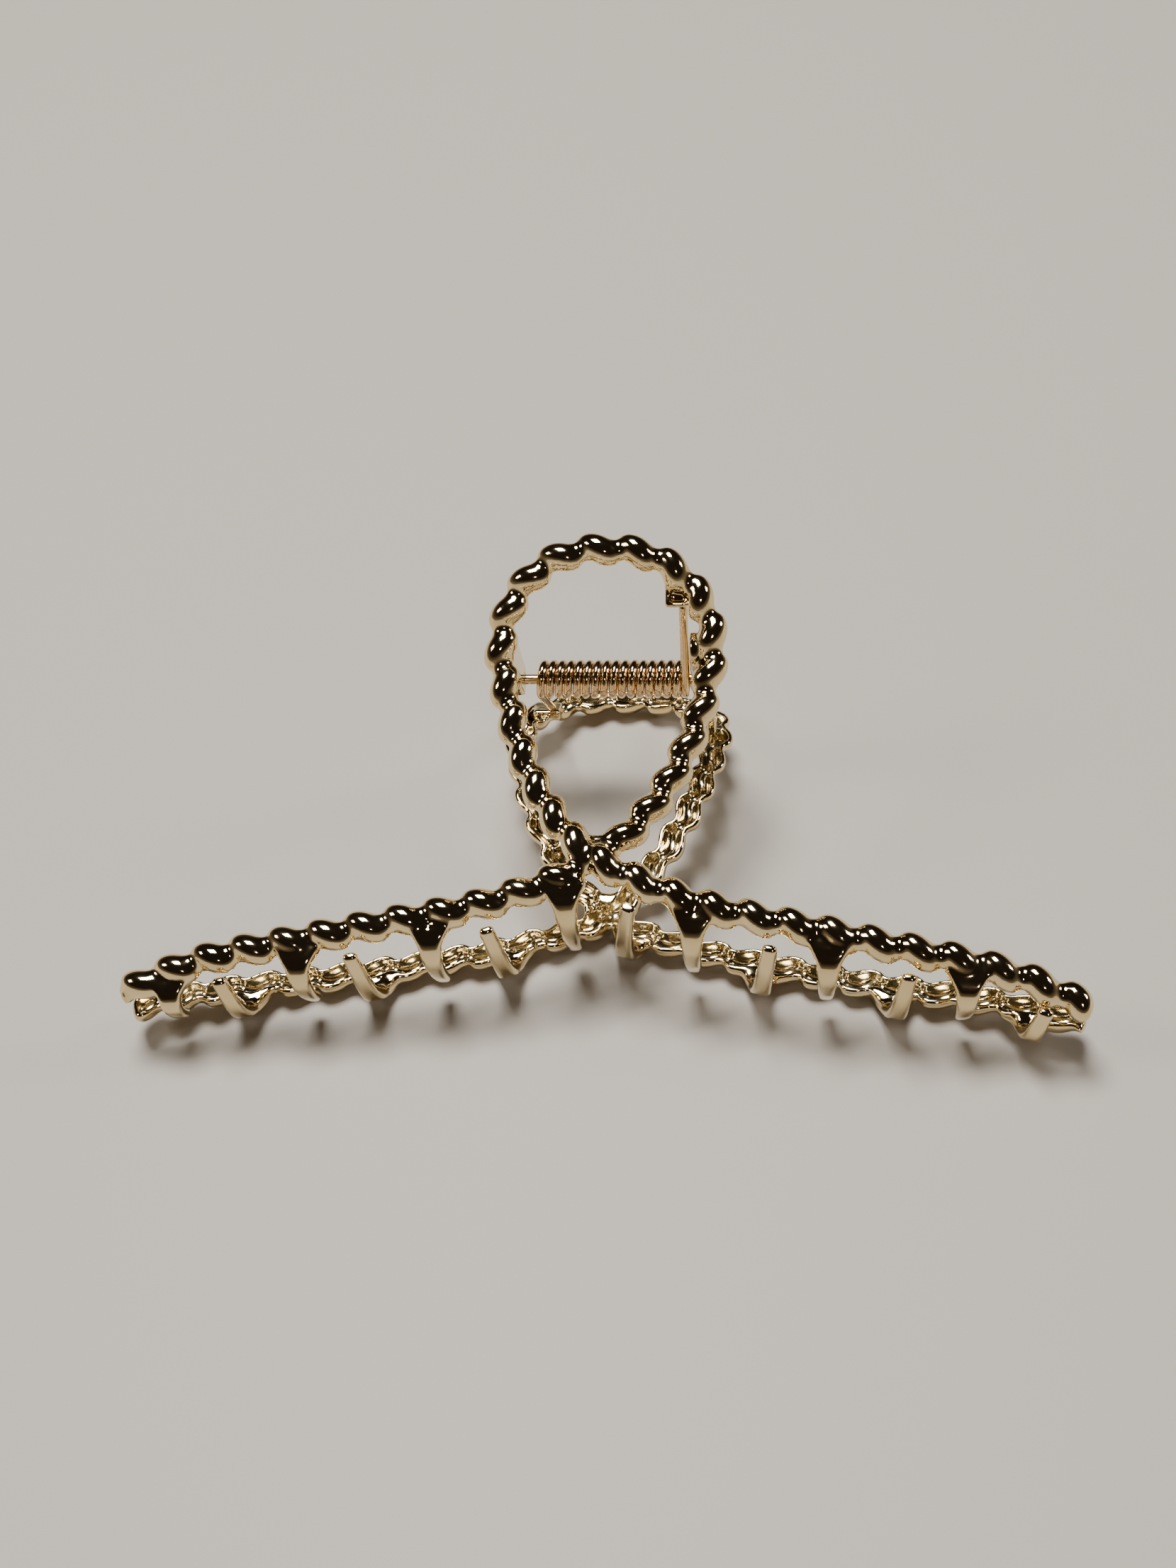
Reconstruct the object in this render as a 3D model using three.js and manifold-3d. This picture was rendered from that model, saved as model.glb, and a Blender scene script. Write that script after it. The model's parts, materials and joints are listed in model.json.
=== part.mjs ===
// Metal claw clip: two cast rope-pattern jaws, each bent into a loop with two crossed arms, that turn on one
// hinge pin and are closed by a torsion spring. Millimetres, +Z up.
//
// The clip lies on its rear jaw. X runs along the arms and the hinge pin, +Y points from the teeth to the
// handle loops. Each jaw is one casting. It is given here as its rope loop, its arms, its teeth and its ears,
// with a small joint gap between them, so that every one of them is a simple solid.
import * as THREE from "three";
import { mergeVertices } from "three/addons/utils/BufferGeometryUtils.js";
import Module from "manifold-3d";

const wasm = await Module();
wasm.setup();

// Driving dimensions. In the clip's own frame x is along the hinge pin, y runs from the teeth to the handles
// and z is the height above the plane that the closed jaws share.
const ROPE_RADIUS = 2.1;
const RIM_DEPTH = 0.45; // the casting's flat back is this far behind the rope's centre
const SECTION_LEAN = 20; // degrees that the rope's front leans from z towards the teeth
const JOINT_GAP = 0.3; // between the solids of one casting
const HANDLE_RISE = 13.7; // degrees from the table to the plane between the jaws
const HINGE_Y = 18;

// One strand of rope, from the top of the loop down one side, over the crossing and out to the far tip.
const STRAND = [
  [0, 25.5, 16.4],
  [6.1, 24.6, 15.6],
  [10.7, 21.4, 13.1],
  [12.6, 16.6, 10.1],
  [11.8, 10.9, 7.8],
  [9.15, 2.3, 6.4],
  [4.8, -5.8, 6.7],
  [0, -11.0, 7.3],
  [-10.2, -15.5, 6.2],
  [-28.0, -19.5, 5.6],
  [-45.9, -23.0, 3.8],
  [-54.3, -26.1, 1.8],
];
const CROSSING_REACH = 5.5; // x where the arms' own solids start

const TEETH_PER_JAW = 7;
const TOOTH_PITCH = 14.9;
const TOOTH_SHIFT = -3.65; // x of a jaw's middle tooth: the other jaw's teeth fall in between
// A long tooth from the side: how far out from the rope's centre, and how far down as a part of its length
const TOOTH_PROFILE = [
  [1.4, 0.0],
  [2.5, 0.025],
  [3.6, 0.12],
  [4.2, 0.33],
  [4.05, 0.66],
  [3.3, 1.0],
];
const TOOTH_THICKNESS = { root: 1.7, tip: 1.2 };
const TOOTH_WIDTH = { root: 5.0, neck: 2.7, tip: 1.75 };
// Each jaw's teeth: how far a tip passes the shared plane as a part of its arm's height, how much nearer to
// the clip's middle it is than its root, and how square to the arm the tooth stands
const FRONT_TEETH = { reach: 0.62, tipLean: 0.2, square: 0.2 };
const REAR_TEETH = { reach: 0.95, tipLean: -1.7, square: 1 };

const PIN_RADIUS = 0.62;
const PIN_HOLE_RADIUS = 0.78;
const PIN_LENGTH = 27.4;
const EAR_SHIFT = -0.6; // x of the middle of both jaws' ears and of the pin
const EAR_THICKNESS = 1.2;
const EAR_BOSS_RADIUS = 2.2;
const FRONT_EAR_X = 11.1; // from the ears' middle to the middle of each ear
const REAR_EAR_X = 12.6;

const WIRE_RADIUS = 0.5;
const COIL_RADIUS = 1.9;
const COIL_END_X = 9.05; // where the wire leaves the coil, on each side
const COIL_TURNS = 16;
const LEG_TOP = { y: 20.9, z: 11.0 };

const FRONT_LEDGE_X = 8.8;
const REAR_LEDGE_X = 9.9;
const LEDGE = { y: 21.6, z: 13.0, width: 3.6, depth: 3.4, thickness: 1.2, tilt: 35 };

const GOLD = { metalness: 1.0, roughness: 0.12 };
const ROPE_COLOUR = 0xb8893a;
const TOOTH_COLOUR = 0xc9a35c;
const STEEL_GOLD_COLOUR = 0xa9762f;

// Geometry and solids

function toSolid(geometry, tolerance = 1e-4) {
  const bare = geometry.index ? geometry.toNonIndexed() : geometry.clone();
  bare.deleteAttribute("normal");
  bare.deleteAttribute("uv");
  const merged = mergeVertices(bare, tolerance);
  return new wasm.Manifold(
    new wasm.Mesh({
      numProp: 3,
      vertProperties: new Float32Array(merged.attributes.position.array),
      triVerts: new Uint32Array(merged.index.array),
    }),
  );
}

function toGeometry(solid) {
  const mesh = solid.getMesh();
  const geometry = new THREE.BufferGeometry();
  geometry.setAttribute("position", new THREE.BufferAttribute(mesh.vertProperties, 3));
  geometry.setIndex(new THREE.BufferAttribute(mesh.triVerts, 1));
  geometry.computeVertexNormals();
  return geometry;
}

// A cut near the crossing can leave a sliver behind the rope, which isn't kept
function largestBody(solid) {
  const bodies = toSolid(toGeometry(solid), 0.01).decompose();
  return bodies.reduce((best, body) => (body.volume() > best.volume() ? body : best));
}

function regularPolygon(radius, sides) {
  const corner = (i) => {
    const angle = (2 * Math.PI * (i + 0.5)) / sides;
    return new THREE.Vector2(radius * Math.cos(angle), radius * Math.sin(angle));
  };
  return new THREE.Shape(Array.from({ length: sides }, (_, i) => corner(i)));
}

function tube(path, radius, sides, stepLength) {
  const steps = Math.max(2, Math.round(path.getLength() / stepLength));
  return new THREE.ExtrudeGeometry(regularPolygon(radius, sides), {
    steps,
    bevelEnabled: false,
    extrudePath: path,
  });
}

function extrude(outline, depth, curveSegments = 6) {
  const geometry = new THREE.ExtrudeGeometry(outline, { depth, bevelEnabled: false, curveSegments });
  geometry.translate(0, 0, -depth / 2);
  return geometry;
}

// A half-round bar along a path, with its flat back turned inwards
function ropeBar(path, radius, rimDepth, stepLength) {
  const steps = Math.max(2, Math.round(path.getLength() / stepLength));
  const lean = THREE.MathUtils.degToRad(SECTION_LEAN);
  const front = new THREE.Vector3(0, -Math.sin(lean), Math.cos(lean));
  const rimAngle = Math.asin(rimDepth / radius);
  const corners = 9;
  const positions = [];
  for (let i = 0; i <= steps; i += 1) {
    const centre = path.getPointAt(i / steps);
    const tangent = path.getTangentAt(i / steps);
    const normal = front.clone().addScaledVector(tangent, -front.dot(tangent)).normalize();
    const side = new THREE.Vector3().crossVectors(normal, tangent);
    for (let j = 0; j < corners; j += 1) {
      const angle = -rimAngle + ((Math.PI + 2 * rimAngle) * j) / (corners - 1);
      const corner = centre.clone().addScaledVector(side, radius * Math.cos(angle));
      positions.push(...corner.addScaledVector(normal, radius * Math.sin(angle)).toArray());
    }
  }
  const faces = [];
  for (let i = 0; i < steps; i += 1) {
    for (let j = 0; j < corners; j += 1) {
      const [a, b] = [i * corners + j, i * corners + ((j + 1) % corners)];
      faces.push(a, b, b + corners, a, b + corners, a + corners);
    }
  }
  const last = steps * corners;
  for (let j = 1; j < corners - 1; j += 1) faces.push(0, j + 1, j, last, last + j, last + j + 1);
  const geometry = new THREE.BufferGeometry();
  geometry.setAttribute("position", new THREE.Float32BufferAttribute(positions, 3));
  geometry.setIndex(faces);
  return geometry;
}

// The part of the strand between two shares of its length, mirrored to the other side if side is -1
class StrandPath extends THREE.Curve {
  constructor(side, from, to) {
    super();
    const start = new THREE.Vector3(-STRAND[1][0], STRAND[1][1], STRAND[1][2]);
    const points = STRAND.map((p) => new THREE.Vector3(...p));
    this.whole = new THREE.CatmullRomCurve3([start, ...points]);
    this.first = 1 / STRAND.length;
    this.side = side;
    this.from = from;
    this.to = to;
  }
  getPoint(t, target = new THREE.Vector3()) {
    const along = this.from + (this.to - this.from) * t;
    this.whole.getPoint(this.first + (1 - this.first) * along, target);
    target.x *= this.side;
    return target;
  }
}

// The share of the strand's length at which it passes x, on its arm beyond the crossing
function shareAtArmX(x) {
  const path = new StrandPath(1, 0, 1);
  let low = 0.6;
  let high = 1;
  for (let i = 0; i < 40; i += 1) {
    const middle = (low + high) / 2;
    if (path.getPoint(middle).x > x) low = middle;
    else high = middle;
  }
  return (low + high) / 2;
}

// One rope jaw's solids, in the clip's own frame

function loopSolid(radius, rimDepth) {
  const reach = shareAtArmX(-CROSSING_REACH);
  const bar = (side) => ropeBar(new StrandPath(side, -0.004, reach), radius, rimDepth, 2.4);
  const halves = [1, -1].map((side) => toSolid(bar(side)));
  return halves[0].add(halves[1]);
}

function armSolid(side, radius, rimDepth, gap) {
  const start = shareAtArmX(-CROSSING_REACH - gap);
  return toSolid(ropeBar(new StrandPath(side, start, 1), radius, rimDepth, 3.2));
}

// A tooth leaves the front of its arm, bulges forward and drops past the shared plane in front of the other
function toothSideOutline(armHeight, length) {
  const spread = 0.6 + 0.4 * Math.min(length / 9, 1);
  const place = ([out, drop]) => new THREE.Vector2(out * spread, armHeight - drop * length);
  const middle = new THREE.SplineCurve(TOOTH_PROFILE.map(place));
  const count = 12;
  const outer = [];
  const inner = [];
  for (let i = 0; i <= count; i += 1) {
    const point = middle.getPoint(i / count);
    const tangent = middle.getTangent(i / count);
    const half = THREE.MathUtils.lerp(TOOTH_THICKNESS.root, TOOTH_THICKNESS.tip, i / count) / 2;
    const away = new THREE.Vector2(-tangent.y, tangent.x).multiplyScalar(half);
    outer.push(point.clone().add(away));
    inner.unshift(point.clone().sub(away));
  }
  return new THREE.Shape([...outer, ...inner]);
}

function toothFrontOutline(armHeight, length, tipShift) {
  const row = (width, drop) => [-1, 1].map((sign) => {
    return new THREE.Vector2(drop * tipShift + (sign * width) / 2, armHeight - drop * length);
  });
  const rows = [
    row(TOOTH_WIDTH.root, -0.3),
    row(TOOTH_WIDTH.root, 0.04),
    row(TOOTH_WIDTH.neck, 0.2),
    row(TOOTH_WIDTH.tip + 0.3, 0.6),
    row(TOOTH_WIDTH.tip, 0.94),
    row(TOOTH_WIDTH.tip * 0.6, 1.08),
  ];
  return new THREE.Shape([...rows.map((r) => r[0]), ...rows.map((r) => r[1]).reverse()]);
}

function toothSolid(x, teeth, keepClear) {
  const side = x > 0 ? -1 : 1;
  const share = shareAtArmX(-Math.abs(x));
  const arm = new StrandPath(side, 0, 1);
  const centre = arm.getPoint(share);
  const ahead = arm.getPoint(share + 0.01);
  const tangent = ahead.sub(centre).setZ(0).normalize();
  const outward = new THREE.Vector3(tangent.y, -tangent.x, 0);
  if (outward.y > 0) outward.negate();
  outward.lerp(new THREE.Vector3(0, -1, 0), 1 - teeth.square).normalize();
  const up = new THREE.Vector3(0, 0, 1);
  const along = new THREE.Vector3().crossVectors(outward, up);

  const length = centre.z * (1 + teeth.reach);
  const sideSlab = extrude(toothSideOutline(centre.z, length), 3 * TOOTH_WIDTH.root);
  sideSlab.applyMatrix4(new THREE.Matrix4().makeBasis(outward, up, along));
  const across = along.clone().negate();
  const tipShift = teeth.tipLean * -Math.sign(x) * Math.sign(across.x);
  const frontSlab = extrude(toothFrontOutline(centre.z, length, tipShift), 30);
  frontSlab.applyMatrix4(new THREE.Matrix4().makeBasis(across, up, outward));
  const tooth = toSolid(sideSlab).intersect(toSolid(frontSlab)).translate([centre.x, centre.y, 0]);
  return largestBody(tooth.subtract(keepClear));
}

// An ear hangs from the rope beside the loop and carries the pin hole
function earSolid(x, keepClear) {
  const outline = new THREE.Shape();
  const flank = THREE.MathUtils.degToRad(20);
  outline.absarc(HINGE_Y, 0, EAR_BOSS_RADIUS, Math.PI - flank, 2 * Math.PI + flank, false);
  outline.lineTo(20.0, 10.6);
  outline.lineTo(13.4, 8.2);
  outline.closePath();
  const hole = new THREE.Path();
  hole.absarc(HINGE_Y, 0, PIN_HOLE_RADIUS, 0, 2 * Math.PI, true);
  outline.holes.push(hole);
  const plate = extrude(outline, EAR_THICKNESS, 20);
  const axes = [new THREE.Vector3(0, 1, 0), new THREE.Vector3(0, 0, 1), new THREE.Vector3(1, 0, 0)];
  plate.applyMatrix4(new THREE.Matrix4().makeBasis(...axes));
  return toSolid(plate).translate([x, 0, 0]).subtract(keepClear);
}

// The small shelf inside the loop that the spring's leg pushes against
function ledgeSolid(x, keepClear) {
  const plate = new THREE.BoxGeometry(LEDGE.width, LEDGE.depth, LEDGE.thickness);
  plate.rotateX(THREE.MathUtils.degToRad(LEDGE.tilt));
  plate.translate(x, LEDGE.y, LEDGE.z);
  return toSolid(plate).subtract(keepClear);
}

// The hinge's own pieces

class SpringPath extends THREE.Curve {
  constructor() {
    super();
    // The straight legs are tangent to the coil on its side nearest the teeth
    const toTop = Math.hypot(LEG_TOP.y - HINGE_Y, LEG_TOP.z);
    const topAngle = Math.atan2(LEG_TOP.z, LEG_TOP.y - HINGE_Y);
    this.leave = topAngle + Math.acos(COIL_RADIUS / toTop);
    this.legLength = Math.sqrt(toTop ** 2 - COIL_RADIUS ** 2);
    this.sweep = 2 * Math.PI * COIL_TURNS + 2 * (Math.PI - this.leave);
    this.coilLength = COIL_RADIUS * this.sweep;
    this.total = this.coilLength + 2 * this.legLength;
  }
  getPoint(t, target = new THREE.Vector3()) {
    const along = t * this.total;
    const onCoil = THREE.MathUtils.clamp((along - this.legLength) / this.coilLength, 0, 1);
    const angle = 2 * Math.PI - this.leave - this.sweep * onCoil;
    const x = COIL_END_X * (2 * onCoil - 1);
    target.set(x, HINGE_Y + COIL_RADIUS * Math.cos(angle), COIL_RADIUS * Math.sin(angle));
    const before = Math.min(along - this.legLength, 0);
    const after = Math.max(along - this.legLength - this.coilLength, 0);
    const past = before + after;
    target.y += past * Math.sin(angle);
    target.z -= past * Math.cos(angle);
    return target;
  }
}

function springGeometry() {
  const path = new SpringPath();
  path.arcLengthDivisions = 2400;
  return tube(path, WIRE_RADIUS, 6, 1.0);
}

function pinGeometry() {
  const half = PIN_LENGTH / 2;
  const chamfer = 0.15;
  const profile = [
    [0, -half],
    [PIN_RADIUS - chamfer, -half],
    [PIN_RADIUS, -half + chamfer],
    [PIN_RADIUS, half - chamfer],
    [PIN_RADIUS - chamfer, half],
    [0, half],
  ].map(([r, y]) => new THREE.Vector2(r, y));
  const pin = new THREE.LatheGeometry(profile, 20);
  pin.rotateZ(-Math.PI / 2);
  pin.translate(EAR_SHIFT, HINGE_Y, 0);
  return pin;
}

// Assembly

function part(name, geometry, colour) {
  const mesh = new THREE.Mesh(geometry, new THREE.MeshStandardMaterial({ ...GOLD, color: colour }));
  mesh.name = name;
  return mesh;
}

// A jaw is built as the front one. The rear one is the same casting turned half a turn about y, so its right
// is the left of the clip.
function jaw(name, earX, ledgeX, teeth, turned) {
  const group = new THREE.Group();
  const flip = turned ? -1 : 1;
  const sideName = (x) => (x * flip > 0 ? "right" : "left");
  const add = (label, solid, colour = ROPE_COLOUR) => {
    group.add(part(`${name}_${label}`, toGeometry(solid), colour));
  };

  const clear = [ROPE_RADIUS + JOINT_GAP, RIM_DEPTH + JOINT_GAP];
  const ropeClear = loopSolid(...clear).add(armSolid(1, ...clear, 0)).add(armSolid(-1, ...clear, 0));
  const bar = [ROPE_RADIUS, RIM_DEPTH];
  add("loop", loopSolid(...bar));
  for (const side of [1, -1]) add(`${sideName(-side)}_arm`, armSolid(side, ...bar, JOINT_GAP));
  for (let i = 0; i < TEETH_PER_JAW; i += 1) {
    const x = TOOTH_SHIFT + TOOTH_PITCH * (i - (TEETH_PER_JAW - 1) / 2);
    const number = turned ? TEETH_PER_JAW - i : i + 1;
    add(`tooth_${number}`, toothSolid(x, teeth, ropeClear), TOOTH_COLOUR);
  }
  for (const side of [1, -1]) {
    add(`${sideName(side)}_ear`, earSolid(EAR_SHIFT * flip + side * earX, ropeClear));
  }
  add("spring_ledge", ledgeSolid(ledgeX, ropeClear));
  if (turned) group.rotation.y = Math.PI;
  return group;
}

const clip = new THREE.Group();
clip.add(jaw("rear", REAR_EAR_X, REAR_LEDGE_X, REAR_TEETH, true));
clip.add(jaw("front", FRONT_EAR_X, FRONT_LEDGE_X, FRONT_TEETH, false));
clip.add(part("hinge_pin", pinGeometry(), STEEL_GOLD_COLOUR));
clip.add(part("torsion_spring", springGeometry(), STEEL_GOLD_COLOUR));

// Lay the clip on its rear jaw, with the origin under the middle of its box
clip.rotation.x = THREE.MathUtils.degToRad(HANDLE_RISE);
const clawClip = new THREE.Group();
clawClip.add(clip);
clawClip.updateMatrixWorld(true);
const box = new THREE.Box3().setFromObject(clip, true);
const middle = box.getCenter(new THREE.Vector3());
clip.position.set(-middle.x, -middle.y, -box.min.z);

export default clawClip;
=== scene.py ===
"""Gold metal claw clip: the finished look of the two rope-pattern castings, the hinge pin and the spring.

Lengths are millimetres in the clip's own frame, as in the CAD source: x along the hinge pin, y from the teeth
to the handle loops, z above the plane that the closed jaws share. to_row() turns them into the row frame, in
metres.
"""

import json
import math

import bpy
import numpy as np
import openvdb
from mathutils import Matrix, Vector


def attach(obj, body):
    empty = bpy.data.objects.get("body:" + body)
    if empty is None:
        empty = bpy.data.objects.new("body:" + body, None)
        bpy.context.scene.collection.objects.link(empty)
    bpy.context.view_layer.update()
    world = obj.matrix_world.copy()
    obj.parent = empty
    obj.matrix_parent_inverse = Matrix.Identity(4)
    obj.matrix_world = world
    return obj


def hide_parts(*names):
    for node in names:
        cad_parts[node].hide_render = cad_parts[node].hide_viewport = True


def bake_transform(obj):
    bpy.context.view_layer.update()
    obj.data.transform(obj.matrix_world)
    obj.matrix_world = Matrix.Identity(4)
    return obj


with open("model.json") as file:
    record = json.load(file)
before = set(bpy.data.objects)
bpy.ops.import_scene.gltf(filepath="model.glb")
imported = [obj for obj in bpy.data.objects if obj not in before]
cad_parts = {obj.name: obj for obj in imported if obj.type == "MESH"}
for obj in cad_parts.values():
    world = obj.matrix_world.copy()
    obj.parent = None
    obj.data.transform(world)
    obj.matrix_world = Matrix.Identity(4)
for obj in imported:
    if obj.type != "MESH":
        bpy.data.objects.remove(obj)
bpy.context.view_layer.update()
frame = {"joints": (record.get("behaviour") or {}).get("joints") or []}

MM = 0.001
HANDLE_RISE = math.radians(13.7)  # from the table to the plane between the jaws
HINGE_Y = 18.0
hinge = next(j for j in frame["joints"] if j["name"] == "jaw_hinge")
HINGE_IN_ROW = np.array(hinge["pos_m"], float)

# The rope's centreline, from the top of the loop down one side, over the crossing and out to the far tip
STRAND = [
    (0, 25.5, 16.4),
    (6.1, 24.6, 15.6),
    (10.7, 21.4, 13.1),
    (12.6, 16.6, 10.1),
    (11.8, 10.9, 7.8),
    (9.15, 2.3, 6.4),
    (4.8, -5.8, 6.7),
    (0, -11.0, 7.3),
    (-10.2, -15.5, 6.2),
    (-28.0, -19.5, 5.6),
    (-45.9, -23.0, 3.8),
    (-54.3, -26.1, 1.8),
]

# The rope's relief: slanted lobes over a plain core, drawn down to a rim and hollow at the back
SECTION_LEAN = math.radians(20)  # the relief faces away from the hair, leaning towards the teeth
LOBE_LENGTH = 2.8  # half of a lobe's length, width and height
LOBE_WIDTH = 1.7
LOBE_HEIGHT = 2.02
LOBE_SLANT = math.radians(33)  # from the rope's direction
CORE_RADIUS = 1.2
CREASE = 0.35  # how far the fillet between lobes reaches, outside and in the hollow
HOLLOW_CREASE = 1.2
FIRST_LOBE, LAST_LOBE = -25, 24  # counted from the top of the loop
RIM_DEPTH = 0.45
HOLLOW_WALL = 0.75  # to the hollow from its own softer lobes, which stand up to 0.3 mm outside the metal
END_WALL = 0.9
END_ROUNDING = 1.5
LOOP_LOBE_PITCH = 4.64
ARM_LOBE_PITCH = 4.49
LOBE_SHIFT = 0.69
CROSSING_LIFT = 0.42  # the strand that ends in the right arm passes over the other one
CROSSING_SPREAD = 4.5

TEETH_PER_JAW = 7
TOOTH_PITCH = 14.9
TOOTH_SHIFT = -3.65
# A long tooth from the side: how far out from the rope's centre, and how far down as a part of its length
TOOTH_PROFILE = [(1.4, 0.0), (2.5, 0.025), (3.6, 0.12), (4.2, 0.33), (4.05, 0.66), (3.3, 1.0)]
TOOTH_BRANCH = 1.35  # half the distance between a root's two branches
TOOTH_WIDTHS = (2.3, 2.7, 2.2, 1.75)  # at the root, where the branches join, lower down and at the tip
TOOTH_THICKNESSES = (1.7, 1.6, 1.2)
TOOTH_FORK = 0.34  # where the branches join, as a part of the tooth's way from root to tip
# Each jaw's teeth: how far a tip passes the shared plane as a part of its arm's height, how much nearer to the
# clip's middle it is than its root, and how square to the arm the tooth stands
FRONT_TEETH = (0.62, 0.2, 0.2)
REAR_TEETH = (0.95, -1.7, 1)

EAR_SHIFT = -0.6
EAR_THICKNESS = 1.2
EAR_ROOT = (16.4, 8.6)  # y and z
EAR_BOSS_RADIUS = 2.0
EAR_ROOT_RADIUS = 2.2
FRONT_EAR_X = 11.1
REAR_EAR_X = 12.6
PIN_RADIUS = 0.62
PIN_CLEARANCE = 0.08
PIN_LENGTH = 27.4
FRONT_LEDGE_X = 8.8
REAR_LEDGE_X = 9.9
LEDGE_MIDDLE = (21.6, 13.0)  # y and z
LEDGE_TILT = math.radians(35)

WIRE_RADIUS = 0.5
COIL_RADIUS = 1.9
COIL_END_X = 9.05
COIL_TURNS = 16
LEG_TOP = (20.9, 11.0)  # y and z of the end of the front leg

GRID_STEP = 0.22
GRID_LOW = np.array([-56.5, -31.5, -7.0])
GRID_HIGH = np.array([56.5, 29.5, 20.0])
FAR = 3.0  # the field's value away from every surface


# ---------------------------------------------------------------- frames and curves


def tilt(points):
    """Directions or offsets in the clip's own frame, turned into the row frame."""
    c, s = math.cos(HANDLE_RISE), math.sin(HANDLE_RISE)
    turn = np.array([[1, 0, 0], [0, c, -s], [0, s, c]])
    return np.asarray(points, float) @ turn.T


def to_row(points):
    """Clip-frame points in mm as row-frame points in metres. Both frames share the hinge axis."""
    offset = np.asarray(points, float) - (0, HINGE_Y, 0)
    return tilt(offset) * MM + HINGE_IN_ROW


def smooth_min(a, b, blend):
    h = np.maximum(blend - np.abs(a - b), 0) / blend
    return np.minimum(a, b) - h * h * blend / 4


def smooth_max(a, b, blend):
    return -smooth_min(-a, -b, blend)


def catmull_rom(points, samples):
    """The centripetal Catmull-Rom curve through the points, as dense samples."""
    points = np.asarray(points, float)
    ends = 2 * points[0] - points[1], 2 * points[-1] - points[-2]
    padded = np.vstack([ends[0], points, ends[1]])
    found = []
    for p0, p1, p2, p3 in zip(padded, padded[1:], padded[2:], padded[3:]):
        t0 = 0.0
        t1 = t0 + np.linalg.norm(p1 - p0) ** 0.5
        t2 = t1 + np.linalg.norm(p2 - p1) ** 0.5
        t3 = t2 + np.linalg.norm(p3 - p2) ** 0.5
        t = np.linspace(t1, t2, samples, endpoint=False)[:, None]
        a1 = (t1 - t) / (t1 - t0) * p0 + (t - t0) / (t1 - t0) * p1
        a2 = (t2 - t) / (t2 - t1) * p1 + (t - t1) / (t2 - t1) * p2
        a3 = (t3 - t) / (t3 - t2) * p2 + (t - t2) / (t3 - t2) * p3
        b1 = (t2 - t) / (t2 - t0) * a1 + (t - t0) / (t2 - t0) * a2
        b2 = (t3 - t) / (t3 - t1) * a2 + (t - t1) / (t3 - t1) * a3
        found.append((t2 - t) / (t2 - t1) * b1 + (t - t1) / (t2 - t1) * b2)
    return np.vstack(found + [points[-1:]])


class RopeLine:
    """The whole rope of one jaw as one line. s is 0 at the top of the loop, below 0 towards the left arm's
    tip and above 0 towards the right arm's. Each station has its tangent, outward normal and side."""

    def __init__(self, spacing=0.45):
        right = np.array(STRAND, float)  # the strand that comes down on +x and ends at the left arm's tip
        left = right * (-1, 1, 1)
        dense = catmull_rom(np.vstack([right[::-1], left[1:]]), 60)
        length = np.concatenate([[0], np.cumsum(np.linalg.norm(np.diff(dense, axis=0), axis=1))])
        length -= length[-1] / 2
        count = int(length[-1] * 2 / spacing) | 1
        self.s = np.linspace(length[0], length[-1], count)
        self.spacing = self.s[1] - self.s[0]
        self.end = self.s[-1]
        self.point = np.stack([np.interp(self.s, length, dense[:, i]) for i in range(3)], 1)
        kernel = np.array([1, 2, 3, 2, 1]) / 9
        for i in range(3):
            padded = np.pad(self.point[:, i], 2, mode="reflect", reflect_type="odd")
            self.point[:, i] = np.convolve(padded, kernel, mode="valid")
        tangent = np.gradient(self.point, self.spacing, axis=0)
        self.tangent = tangent / np.linalg.norm(tangent, axis=1, keepdims=True)
        up = np.array([0, -math.sin(SECTION_LEAN), math.cos(SECTION_LEAN)])
        normal = up - self.tangent * (self.tangent @ up)[:, None]
        self.normal = normal / np.linalg.norm(normal, axis=1, keepdims=True)
        self.side = np.cross(self.normal, self.tangent)
        self.curvature = np.gradient(self.tangent, self.spacing, axis=0)
        on_axis = np.abs(self.point[:, 0]) + 100 * (np.abs(self.s) < 20)
        self.crossing = abs(self.s[np.argmin(on_axis)])

    def at(self, s):
        point = np.array([np.interp(s, self.s, self.point[:, i]) for i in range(3)])
        tangent = np.array([np.interp(s, self.s, self.tangent[:, i]) for i in range(3)])
        return point, tangent

    def s_at_arm_x(self, x):
        """Where the arm on x's side passes x."""
        arm = (np.abs(self.s) > self.crossing) & (np.sign(self.s) == np.sign(x))
        order = np.argsort(self.point[arm, 0])
        return np.interp(x, self.point[arm, 0][order], self.s[arm][order])

    def lobes(self, s):
        """How many lobes lie between the loop's first lobe and s."""
        in_loop = np.clip(s, -self.crossing, self.crossing)
        return (in_loop - LOBE_SHIFT) / LOOP_LOBE_PITCH + (s - in_loop) / ARM_LOBE_PITCH

    def lift(self, s):
        """The over and under of the strands where they cross."""
        near = np.exp(-(((np.abs(s) - self.crossing) / CROSSING_SPREAD) ** 2))
        return CROSSING_LIFT * np.sign(s) * near


# ---------------------------------------------------------------- distance fields


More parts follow.
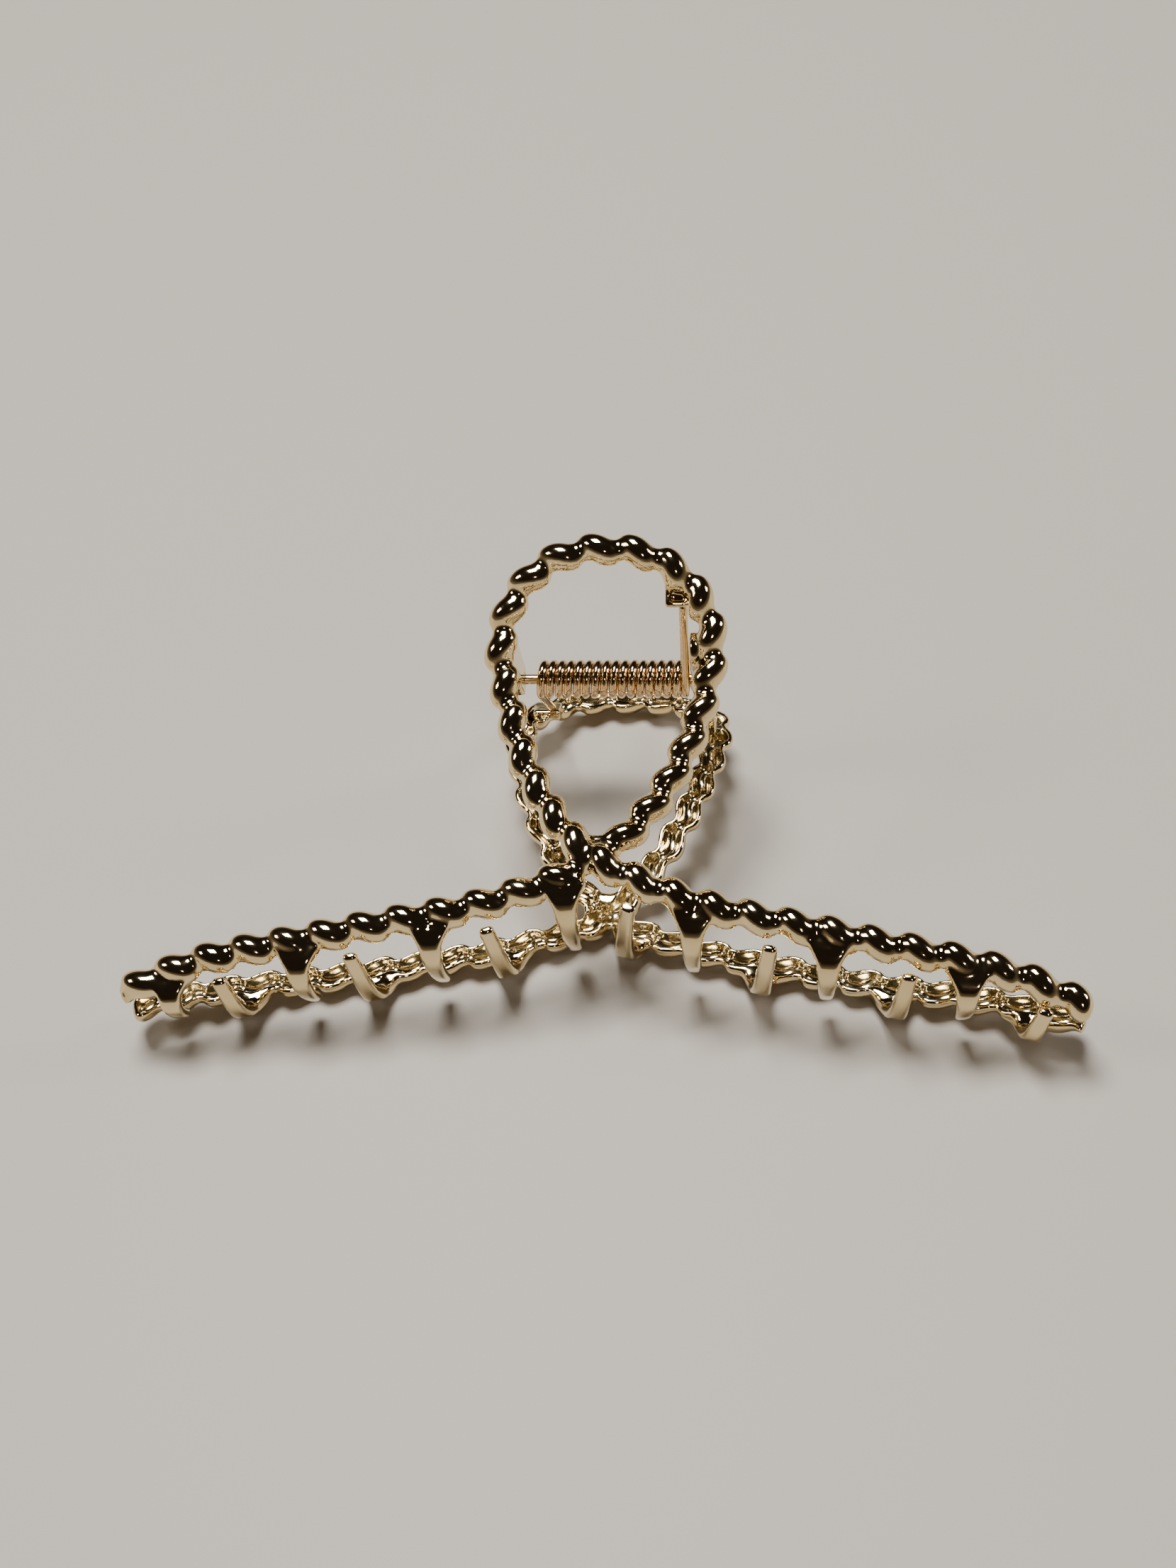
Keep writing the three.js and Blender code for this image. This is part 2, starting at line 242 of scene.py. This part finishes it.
class Field:
    """A distance field on a grid, in the clip's own frame: below 0 inside the metal."""

    def __init__(self, value=None):
        self.axes = [np.arange(lo, hi, GRID_STEP) for lo, hi in zip(GRID_LOW, GRID_HIGH)]
        shape = [len(a) for a in self.axes]
        self.value = np.full(shape, FAR, np.float32) if value is None else value

    def window(self, low, high):
        """The slices that cover a box, with the grid's coordinates there ready to broadcast."""
        cuts = []
        for axis, lo, hi in zip(self.axes, low, high):
            first = max(0, int((lo - axis[0]) / GRID_STEP))
            cuts.append(slice(first, min(len(axis), int((hi - axis[0]) / GRID_STEP) + 2)))
        x, y, z = (axis[cut] for axis, cut in zip(self.axes, cuts))
        return tuple(cuts), x[:, None, None], y[None, :, None], z[None, None, :]

    def softened(self, passes=1):
        """A copy with its sharp creases eased, as casting and plating ease them."""
        value = self.value
        for _ in range(passes):
            for axis in range(3):
                value = (np.roll(value, 1, axis) + 2 * value + np.roll(value, -1, axis)) / 4
        return Field(value)

    def sample(self, points):
        """The field at points, by linear interpolation."""
        place = (points - GRID_LOW) / GRID_STEP
        cell = np.clip(place.astype(int), 0, np.array(self.value.shape) - 2)
        part = place - cell
        total = np.zeros(len(points))
        for corner in np.ndindex(2, 2, 2):
            weight = np.prod(np.where(corner, part, 1 - part), axis=1)
            i, j, k = (cell + corner).T
            total += weight * self.value[i, j, k]
        return total

    def gradient(self, points):
        half = GRID_STEP / 2
        steps = np.eye(3) * half
        return np.stack([(self.sample(points + d) - self.sample(points - d)) / (2 * half) for d in steps], 1)


def lobe_chain(side, height, place, crease):
    """The rope in section: the lobes nearest to place, and the core, with straight walls below."""
    above = np.maximum(height, 0)
    found = np.hypot(side, above) - CORE_RADIUS
    c, s = math.cos(LOBE_SLANT), math.sin(LOBE_SLANT)
    radii = LOBE_LENGTH, LOBE_WIDTH, LOBE_HEIGHT
    for step in (-1, 0, 1):
        number = np.clip(np.round(place) + step, FIRST_LOBE, LAST_LOBE)
        along = (place - number) * ARM_LOBE_PITCH
        offsets = along * c - side * s, along * s + side * c, above
        size = np.sqrt(sum((o / r) ** 2 for o, r in zip(offsets, radii)))
        steepness = np.sqrt(sum((o / r**2) ** 2 for o, r in zip(offsets, radii)))
        found = smooth_min(found, size * (size - 1) / np.maximum(steepness, 0.05), crease)
    return found


def paint_rope(metal, hollow, line):
    """The rope's relief goes into one field, and the hollow at its back into the other."""
    reach = LOBE_HEIGHT + 1.5
    for i, s0 in enumerate(line.s):
        centre = line.point[i]
        cuts, x, y, z = metal.window(centre - reach, centre + reach)
        offset = [x - centre[0], y - centre[1], z - centre[2]]
        along = sum(o * c for o, c in zip(offset, line.tangent[i]))
        near = np.abs(along) <= 0.75 * line.spacing
        side = sum(o * c for o, c in zip(offset, line.side[i]))[near]
        height = sum(o * c for o, c in zip(offset, line.normal[i]))[near]
        bend = side * (line.curvature[i] @ line.side[i]) + height * (line.curvature[i] @ line.normal[i])
        s = s0 + along[near] / np.maximum(1 - bend, 0.5)
        lifted, place = height - line.lift(s), line.lobes(s)
        lobes = lobe_chain(side, lifted, place, CREASE)
        soft_lobes = lobe_chain(side, lifted, place, HOLLOW_CREASE)
        past_end = np.abs(s) - line.end
        solid = smooth_max(smooth_max(lobes, -(height + RIM_DEPTH), 0.3), past_end, END_ROUNDING)
        open_back = -(height + RIM_DEPTH + 0.5)
        inside = np.maximum(soft_lobes + HOLLOW_WALL, np.maximum(past_end + END_WALL, open_back))
        for field, value in ((metal, solid), (hollow, inside)):
            block = field.value[cuts]
            block[near] = np.minimum(block[near], value)


def add_shape(field, low, high, distance, blend):
    """Joins a shape to the field inside a box, with a fillet."""
    cuts, x, y, z = field.window(low, high)
    field.value[cuts] = smooth_min(field.value[cuts], distance(x, y, z), blend).astype(np.float32)


def rounded_box(gaps, rounding):
    """The distance to a box from the signed gaps to its pairs of faces, with its edges rounded."""
    gaps = [g + rounding for g in np.broadcast_arrays(*gaps)]
    outside = np.sqrt(sum(np.maximum(g, 0) ** 2 for g in gaps))
    inside = np.minimum(np.maximum.reduce(gaps), 0)
    return outside + inside - rounding


def add_tooth(metal, line, x, teeth):
    """A tooth: two branches leave the front of the rope, join, bulge forward and pass the shared plane."""
    reach, tip_lean, square = teeth
    centre, tangent = line.at(line.s_at_arm_x(x))
    outward = np.array([tangent[1], -tangent[0]])
    outward *= -np.sign(outward[1]) / np.linalg.norm(outward)
    outward = outward * square + np.array([0, -1]) * (1 - square)
    arm_height = centre[2]
    length = arm_height * (1 + reach)
    spread = 0.6 + 0.4 * min(length / 9, 1)
    profile = [(out * spread, arm_height - drop * length) for out, drop in TOOTH_PROFILE]
    profile = catmull_rom(profile, 6)

    def distance(px, py, pz):
        out = (px - centre[0]) * outward[0] + (py - centre[1]) * outward[1]
        across = (px - centre[0]) * outward[1] - (py - centre[1]) * outward[0]
        out, across, z = np.broadcast_arrays(out, across, pz)
        gap, place = np.full(out.shape, 99.0), np.zeros(out.shape)
        for i, (start, end) in enumerate(zip(profile, profile[1:])):
            run = end - start
            part = ((out - start[0]) * run[0] + (z - start[1]) * run[1]) / (run @ run)
            part = np.clip(part, 0, 1)
            here = np.hypot(out - start[0] - part * run[0], z - start[1] - part * run[1])
            nearer = here < gap
            gap, place = np.where(nearer, here, gap), np.where(nearer, i + part, place)
        place /= len(profile) - 1
        branches = TOOTH_BRANCH * np.maximum(1 - place / TOOTH_FORK, 0)
        width = np.interp(place, [0, TOOTH_FORK, 0.6, 1], TOOTH_WIDTHS)
        thickness = np.interp(place, [0, 0.5, 1], TOOTH_THICKNESSES)
        middle = across - np.sign(x) * tip_lean * place
        return rounded_box([gap - thickness / 2, np.abs(np.abs(middle) - branches) - width / 2], 0.5)

    low = (centre[0] - 6, centre[1] - 8, centre[2] - length - 2)
    high = (centre[0] + 6, centre[1] + 3, centre[2] + 2)
    add_shape(metal, low, high, distance, 0.45)


def add_web(metal):
    """The small flat web that ties the strands together above the crossing."""

    def distance(x, y, z):
        across = 2.6 + 0.7 * (y + 9.4)
        gaps = [np.abs(x) - across, np.abs(y + 9.4) - 1.3, np.abs(z - 7.4) - 0.5]
        return rounded_box(gaps, 0.35)

    add_shape(metal, (-6, -13, 5), (6, -6, 10), distance, 0.5)


def add_ledge(metal, x):
    """The shelf with two raised walls inside the loop, which holds the spring's leg."""
    centre = np.array([x, *LEDGE_MIDDLE])
    c, s = math.cos(LEDGE_TILT), math.sin(LEDGE_TILT)

    def distance(x, y, z):
        across = x - centre[0]
        up_slope = (y - centre[1]) * c + (z - centre[2]) * s
        out = (z - centre[2]) * c - (y - centre[1]) * s
        block = rounded_box([np.abs(across) - 1.8, np.abs(up_slope) - 1.7, np.abs(out - 0.1) - 0.7], 0.2)
        hollowed = [np.abs(across - 0.6) - 1.8, np.abs(up_slope - 0.6) - 1.7, np.abs(out - 0.9) - 0.8]
        pocket = rounded_box(hollowed, 0.2)
        return smooth_max(block, -pocket, 0.2)

    add_shape(metal, centre - 5, centre + 5, distance, 0.35)


def add_ear(metal, x):
    """An ear from the rope down to the hinge pin, with the pin's hole."""
    boss, root = np.array([HINGE_Y, 0]), np.array(EAR_ROOT)

    def distance(px, py, pz):
        run = root - boss
        part = ((py - boss[0]) * run[0] + (pz - boss[1]) * run[1]) / (run @ run)
        part = np.clip(part, 0, 1)
        gap = np.hypot(py - boss[0] - part * run[0], pz - boss[1] - part * run[1])
        outline = gap - EAR_BOSS_RADIUS - part * (EAR_ROOT_RADIUS - EAR_BOSS_RADIUS)
        hole = PIN_RADIUS + PIN_CLEARANCE - np.hypot(py - boss[0], pz - boss[1])
        plate = rounded_box([np.abs(px - x) - EAR_THICKNESS / 2, outline + 0 * px], 0.2)
        return smooth_max(plate, hole + 0 * px, 0.12)

    low, high = (x - 2, 12, -4), (x + 2, 22, 13)
    add_shape(metal, low, high, distance, 0.3)


# ---------------------------------------------------------------- meshes


def largest_piece(points, quads):
    """The points and faces of the mesh's largest connected piece."""
    label = np.arange(len(points))
    a, b = quads.ravel(), np.roll(quads, -1, axis=1).ravel()
    while True:
        low = np.minimum(label[a], label[b])
        before = label.copy()
        np.minimum.at(label, a, low)
        np.minimum.at(label, b, low)
        label = label[label]
        if np.array_equal(before, label):
            break
    main = np.bincount(label).argmax()
    keep = label == main
    renumber = np.cumsum(keep) - 1
    return points[keep], renumber[quads[keep[quads[:, 0]]]]


def surface_of(field):
    """The field's zero surface as points and quads, with every point moved onto it."""
    grid = openvdb.FloatGrid()
    grid.copyFromArray(field.value)
    points, quads = grid.convertToQuads(isovalue=0.0)
    points = np.array(points, float) * GRID_STEP + GRID_LOW
    points, quads = largest_piece(points, np.array(quads, int))
    for _ in range(3):
        slope = field.gradient(points)
        steepness = np.maximum((slope**2).sum(1), 0.05)
        move = -(field.sample(points) / steepness)[:, None] * slope
        points += np.clip(move, -GRID_STEP, GRID_STEP)
    a, b, c, d = (points[quads[:, i]] for i in range(4))
    facing = (np.cross(c - a, d - b) * field.gradient((a + b + c + d) / 4)).sum()
    if facing < 0:
        quads = quads[:, ::-1]
    return points, quads


def mesh_object(name, points, faces, materials, smooth=True):
    """An object from clip-frame points in mm and faces that all have the same number of sides."""
    mesh = bpy.data.meshes.new(name)
    points, faces = to_row(points), np.asarray(faces)
    sides = faces.shape[1]
    mesh.vertices.add(len(points))
    mesh.vertices.foreach_set("co", points.astype(np.float32).ravel())
    mesh.loops.add(faces.size)
    mesh.loops.foreach_set("vertex_index", faces.astype(np.int32).ravel())
    mesh.polygons.add(len(faces))
    mesh.polygons.foreach_set("loop_start", np.arange(0, faces.size, sides, dtype=np.int32))
    mesh.polygons.foreach_set("use_smooth", np.full(len(faces), smooth))
    mesh.update(calc_edges=True)
    mesh.validate()
    for material in materials:
        mesh.materials.append(material)
    made = bpy.data.objects.new(name, mesh)
    bpy.context.scene.collection.objects.link(made)
    return made


def swept_tube(path, radius, sides):
    """Rings of points along a path, closed at both ends, as points and triangles."""
    tangent = np.gradient(path, axis=0)
    tangent /= np.linalg.norm(tangent, axis=1, keepdims=True)
    normal = np.cross(tangent[0], (0, 0, 1.0) if abs(tangent[0, 2]) < 0.9 else (1.0, 0, 0))
    normals = []
    for t in tangent:
        normal = normal - t * (normal @ t)
        normal /= np.linalg.norm(normal)
        normals.append(normal)
    normals = np.array(normals)
    other = np.cross(tangent, normals)
    turn = 2 * np.pi * np.arange(sides) / sides
    radii = np.broadcast_to(radius, len(path))
    ring = normals[:, None] * np.cos(turn)[None, :, None] + other[:, None] * np.sin(turn)[None, :, None]
    rings = path[:, None] + ring * radii[:, None, None]
    points = np.vstack([rings.reshape(-1, 3), path[:1], path[-1:]])
    here, following = np.arange(sides), (np.arange(sides) + 1) % sides
    start = np.arange(len(path) - 1)[:, None] * sides
    corners = start + here, start + following, start + sides + following, start + sides + here
    quads = np.stack(corners, -1).reshape(-1, 4)
    first_tip, last_ring = len(path) * sides, (len(path) - 1) * sides
    first_cap = np.stack([np.full(sides, first_tip), following, here], -1)
    last_cap = np.stack([np.full(sides, first_tip + 1), last_ring + here, last_ring + following], -1)
    return points, np.vstack([quads[:, :3], quads[:, [0, 2, 3]], first_cap, last_cap])


def rounded_ends(path, radius, steps=4):
    """Adds the points and radii that round a tube's two ends off."""
    radii = np.full(len(path), radius)
    turn = np.linspace(0, 1, steps + 1)[1:] * math.pi / 2
    for end in (0, -1):
        outward = path[end] - path[1 if end == 0 else -2]
        outward /= np.linalg.norm(outward)
        cap = path[end] + outward * (radius * np.sin(turn))[:, None]
        cap_radii = np.maximum(radius * np.cos(turn), 0.01 * radius)
        if end == 0:
            path, radii = np.vstack([cap[::-1], path]), np.concatenate([cap_radii[::-1], radii])
        else:
            path, radii = np.vstack([path, cap]), np.concatenate([radii, cap_radii])
    return path, radii


def spring_path():
    """The torsion spring's wire: the rear jaw's leg, the coil and the front jaw's leg."""
    leg_y, leg_z = LEG_TOP[0] - HINGE_Y, LEG_TOP[1]
    reach = math.hypot(leg_y, leg_z)
    leave = math.atan2(leg_z, leg_y) + math.acos(COIL_RADIUS / reach)
    leg = math.sqrt(reach**2 - COIL_RADIUS**2)
    sweep = 2 * math.pi * COIL_TURNS + 2 * (math.pi - leave)
    on_coil = np.linspace(0, 1, COIL_TURNS * 36)
    angle = 2 * math.pi - leave - sweep * on_coil
    x = COIL_END_X * (2 * on_coil - 1)
    coil = np.stack([x, HINGE_Y + COIL_RADIUS * np.cos(angle), COIL_RADIUS * np.sin(angle)], 1)
    far = np.linspace(1, 0, 24, endpoint=False)[:, None] * leg
    start_way = np.array([0, math.sin(angle[0]), -math.cos(angle[0])])
    end_way = np.array([0, math.sin(angle[-1]), -math.cos(angle[-1])])
    return np.vstack([coil[0] - far * start_way, coil, coil[-1] + far[::-1] * end_way])


# ---------------------------------------------------------------- materials


def new_material(name):
    material = bpy.data.materials.new(name)
    material.use_nodes = True
    nodes, links = material.node_tree.nodes, material.node_tree.links
    return material, nodes, links, nodes["Principled BSDF"]


def noise(nodes, links, coordinates, scale, detail=3.0, roughness=0.5):
    texture = nodes.new("ShaderNodeTexNoise")
    texture.inputs["Scale"].default_value = scale
    texture.inputs["Detail"].default_value = detail
    texture.inputs["Roughness"].default_value = roughness
    links.new(coordinates.outputs["Object"], texture.inputs["Vector"])
    return texture.outputs["Fac"]


def ramp(nodes, links, source, stops):
    """A colour ramp fed by source; stops are (position, colour)."""
    node = nodes.new("ShaderNodeValToRGB")
    while len(node.color_ramp.elements) < len(stops):
        node.color_ramp.elements.new(0.5)
    for element, (position, colour) in zip(node.color_ramp.elements, stops):
        element.position = position
        element.color = (*colour, 1) if len(colour) == 3 else colour
    links.new(source, node.inputs["Fac"])
    return node.outputs["Color"]


def grey(value):
    return (value, value, value)


def gold(name, light, deep, smoothness, roughest, bump_scale, bump_height):
    """Gold plate: two tones in broad clouds, roughness that varies, and fine unevenness."""
    material, nodes, links, shader = new_material(name)
    coordinates = nodes.new("ShaderNodeTexCoord")
    shader.inputs["Metallic"].default_value = 1.0
    clouds = noise(nodes, links, coordinates, 90, 4)
    links.new(ramp(nodes, links, clouds, [(0.35, deep), (0.65, light)]), shader.inputs["Base Color"])
    smudges = noise(nodes, links, coordinates, 260, 5, 0.6)
    roughness = ramp(nodes, links, smudges, [(0.4, grey(smoothness)), (0.75, grey(roughest))])
    links.new(roughness, shader.inputs["Roughness"])
    bump = nodes.new("ShaderNodeBump")
    bump.inputs["Strength"].default_value = 1.0
    bump.inputs["Distance"].default_value = bump_height
    links.new(noise(nodes, links, coordinates, bump_scale, 3), bump.inputs["Height"])
    links.new(bump.outputs["Normal"], shader.inputs["Normal"])
    return material


polished_gold = gold("polished_gold", (0.87, 0.72, 0.43), (0.80, 0.63, 0.34), 0.06, 0.12, 700, 0.000008)
cast_gold = gold("cast_gold", (0.76, 0.66, 0.42), (0.62, 0.51, 0.30), 0.11, 0.22, 1500, 0.00002)
pin_gold = gold("pin_gold", (0.80, 0.60, 0.34), (0.72, 0.52, 0.28), 0.14, 0.30, 900, 0.00001)
wire_gold = gold("wire_gold", (0.86, 0.65, 0.38), (0.78, 0.56, 0.31), 0.08, 0.16, 1200, 0.000008)


# ---------------------------------------------------------------- the pieces


def jaw_fields(line):
    """The metal and the hollow that both castings share."""
    metal, hollow = Field(), Field()
    paint_rope(metal, hollow, line)
    metal, hollow = metal.softened(2), hollow.softened(2)
    add_web(metal)
    return metal, hollow


def jaw_casting(name, line, metal, hollow, ear_x, teeth, turned):
    """One jaw. The rear one is turned half a turn about y."""
    own = Field(metal.value.copy())
    for i in range(TEETH_PER_JAW):
        add_tooth(own, line, TOOTH_SHIFT + TOOTH_PITCH * (i - (TEETH_PER_JAW - 1) / 2), teeth)
    own.value = np.maximum(own.value, -hollow.value)
    add_ledge(own, REAR_LEDGE_X if turned else FRONT_LEDGE_X)
    flip = -1 if turned else 1
    for side in (1, -1):
        add_ear(own, EAR_SHIFT * flip + side * ear_x)
    own = own.softened()
    points, quads = surface_of(own)
    middle = points[quads].mean(axis=1)
    in_hollow = hollow.sample(middle) < GRID_STEP
    if turned:
        points = points * (-1, 1, -1)
    casting = mesh_object(name, points, quads, [polished_gold, cast_gold])
    casting.data.polygons.foreach_set("material_index", in_hollow.astype(np.int32))
    return casting


def casting_nodes(jaw):
    teeth = [f"{jaw}_tooth_{i + 1}" for i in range(TEETH_PER_JAW)]
    others = ("loop", "left_arm", "right_arm", "left_ear", "right_ear", "spring_ledge")
    return [f"{jaw}_{part}" for part in others] + teeth


line = RopeLine()
metal, hollow = jaw_fields(line)
rear = jaw_casting("rear_jaw_casting", line, metal, hollow, REAR_EAR_X, REAR_TEETH, True)
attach(rear, "rear_jaw")
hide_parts(*casting_nodes("rear"))
front = jaw_casting("front_jaw_casting", line, metal, hollow, FRONT_EAR_X, FRONT_TEETH, False)
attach(front, "front_jaw")
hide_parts(*casting_nodes("front"))

# The pin's flat ends have a small chamfer
half_pin = PIN_LENGTH / 2
end_steps = [(0, 0.01), (0.004, 0.3), (0.008, PIN_RADIUS - 0.15), (0.16, PIN_RADIUS)]
pin_profile = [(-half_pin + inset, radius) for inset, radius in end_steps]
pin_profile += [(x, PIN_RADIUS) for x in np.linspace(-half_pin + 0.5, half_pin - 0.5, 40)]
pin_profile += [(half_pin - inset, radius) for inset, radius in reversed(end_steps)]
pin_path = np.array([(EAR_SHIFT + x, HINGE_Y, 0) for x, _ in pin_profile])
pin_radii = np.array([radius for _, radius in pin_profile])
pin = mesh_object("polished_hinge_pin", *swept_tube(pin_path, pin_radii, 24), [pin_gold])
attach(pin, "rear_jaw")
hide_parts("hinge_pin")

wire_path, wire_radii = rounded_ends(spring_path(), WIRE_RADIUS + 0.02)
spring = mesh_object("coiled_torsion_spring", *swept_tube(wire_path, wire_radii, 14), [wire_gold])
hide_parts("torsion_spring")
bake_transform(spring)


# ---------------------------------------------------------------- stage, lights and camera


def make_floor():
    size = 3.0
    mesh = bpy.data.meshes.new("floor")
    corners = [(-size, -size, 0), (size, -size, 0), (size, size, 0), (-size, size, 0)]
    mesh.from_pydata(corners, [], [(0, 1, 2, 3)])
    floor = bpy.data.objects.new("floor", mesh)
    bpy.context.scene.collection.objects.link(floor)
    material, nodes, links, shader = new_material("pale_floor")
    shader.inputs["Base Color"].default_value = (0.42, 0.39, 0.345, 1)
    shader.inputs["Roughness"].default_value = 0.55
    mesh.materials.append(material)


def area_light(name, direction, distance, size, power, colour=(1, 1, 1)):
    """A square softbox in a direction from the clip, facing it."""
    data = bpy.data.lights.new(name, "AREA")
    data.shape, data.size, data.energy, data.color = "SQUARE", size, power, colour
    light = bpy.data.objects.new(name, data)
    way = Vector(direction).normalized()
    light.location = way * distance
    light.rotation_euler = way.to_track_quat("Z", "Y").to_euler()
    bpy.context.scene.collection.objects.link(light)


def make_world():
    """A dim room: brown walls near the horizon and a nearly black ceiling."""
    world = bpy.data.worlds.new("dim_room")
    world.use_nodes = True
    nodes, links = world.node_tree.nodes, world.node_tree.links
    split = nodes.new("ShaderNodeSeparateXYZ")
    links.new(nodes.new("ShaderNodeTexCoord").outputs["Generated"], split.inputs["Vector"])
    stops = [(0.0, (0.22, 0.18, 0.14)), (0.12, (0.10, 0.08, 0.06)), (0.35, (0.014, 0.011, 0.010))]
    links.new(ramp(nodes, links, split.outputs["Z"], stops), nodes["Background"].inputs["Color"])
    bpy.context.scene.world = world


def make_camera():
    """The photograph's viewpoint: above the teeth's side, a little to the right, held with a slight roll."""
    azimuth, elevation, roll = math.radians(8.93), math.radians(46.0), math.radians(-6.3)
    distance, right_of_aim, above_aim = 213.6, 2.16, -2.57
    data = bpy.data.cameras.new("camera")
    data.sensor_width, data.lens = 36.0, 41.17
    data.clip_start, data.clip_end = 0.01, 20
    camera = bpy.data.objects.new("camera", data)
    level = math.cos(elevation)
    back = Vector((math.sin(azimuth) * level, -math.cos(azimuth) * level, math.sin(elevation)))
    turn = back.to_track_quat("Z", "Y").to_matrix() @ Matrix.Rotation(roll, 3, "Z")
    right, up = turn.col[0], turn.col[1]
    aim = Vector(to_row((0, 0, 0)))
    camera.location = aim + (back * distance - right * right_of_aim - up * above_aim) * MM
    camera.rotation_euler = turn.to_euler()
    bpy.context.scene.collection.objects.link(camera)
    bpy.context.scene.camera = camera


make_floor()
area_light("key", (-0.13, 0.28, 0.95), 1.1, 0.42, 20, (1.0, 0.98, 0.95))
area_light("left", (-1.0, -0.1, 0.75), 1.4, 0.35, 6, (1.0, 0.93, 0.84))
area_light("right", (1.0, 0.3, 0.6), 1.4, 0.30, 5, (1.0, 0.97, 0.93))
area_light("front", (0.3, -1.0, 0.9), 1.5, 0.12, 2.0, (1.0, 0.82, 0.72))
make_world()
make_camera()
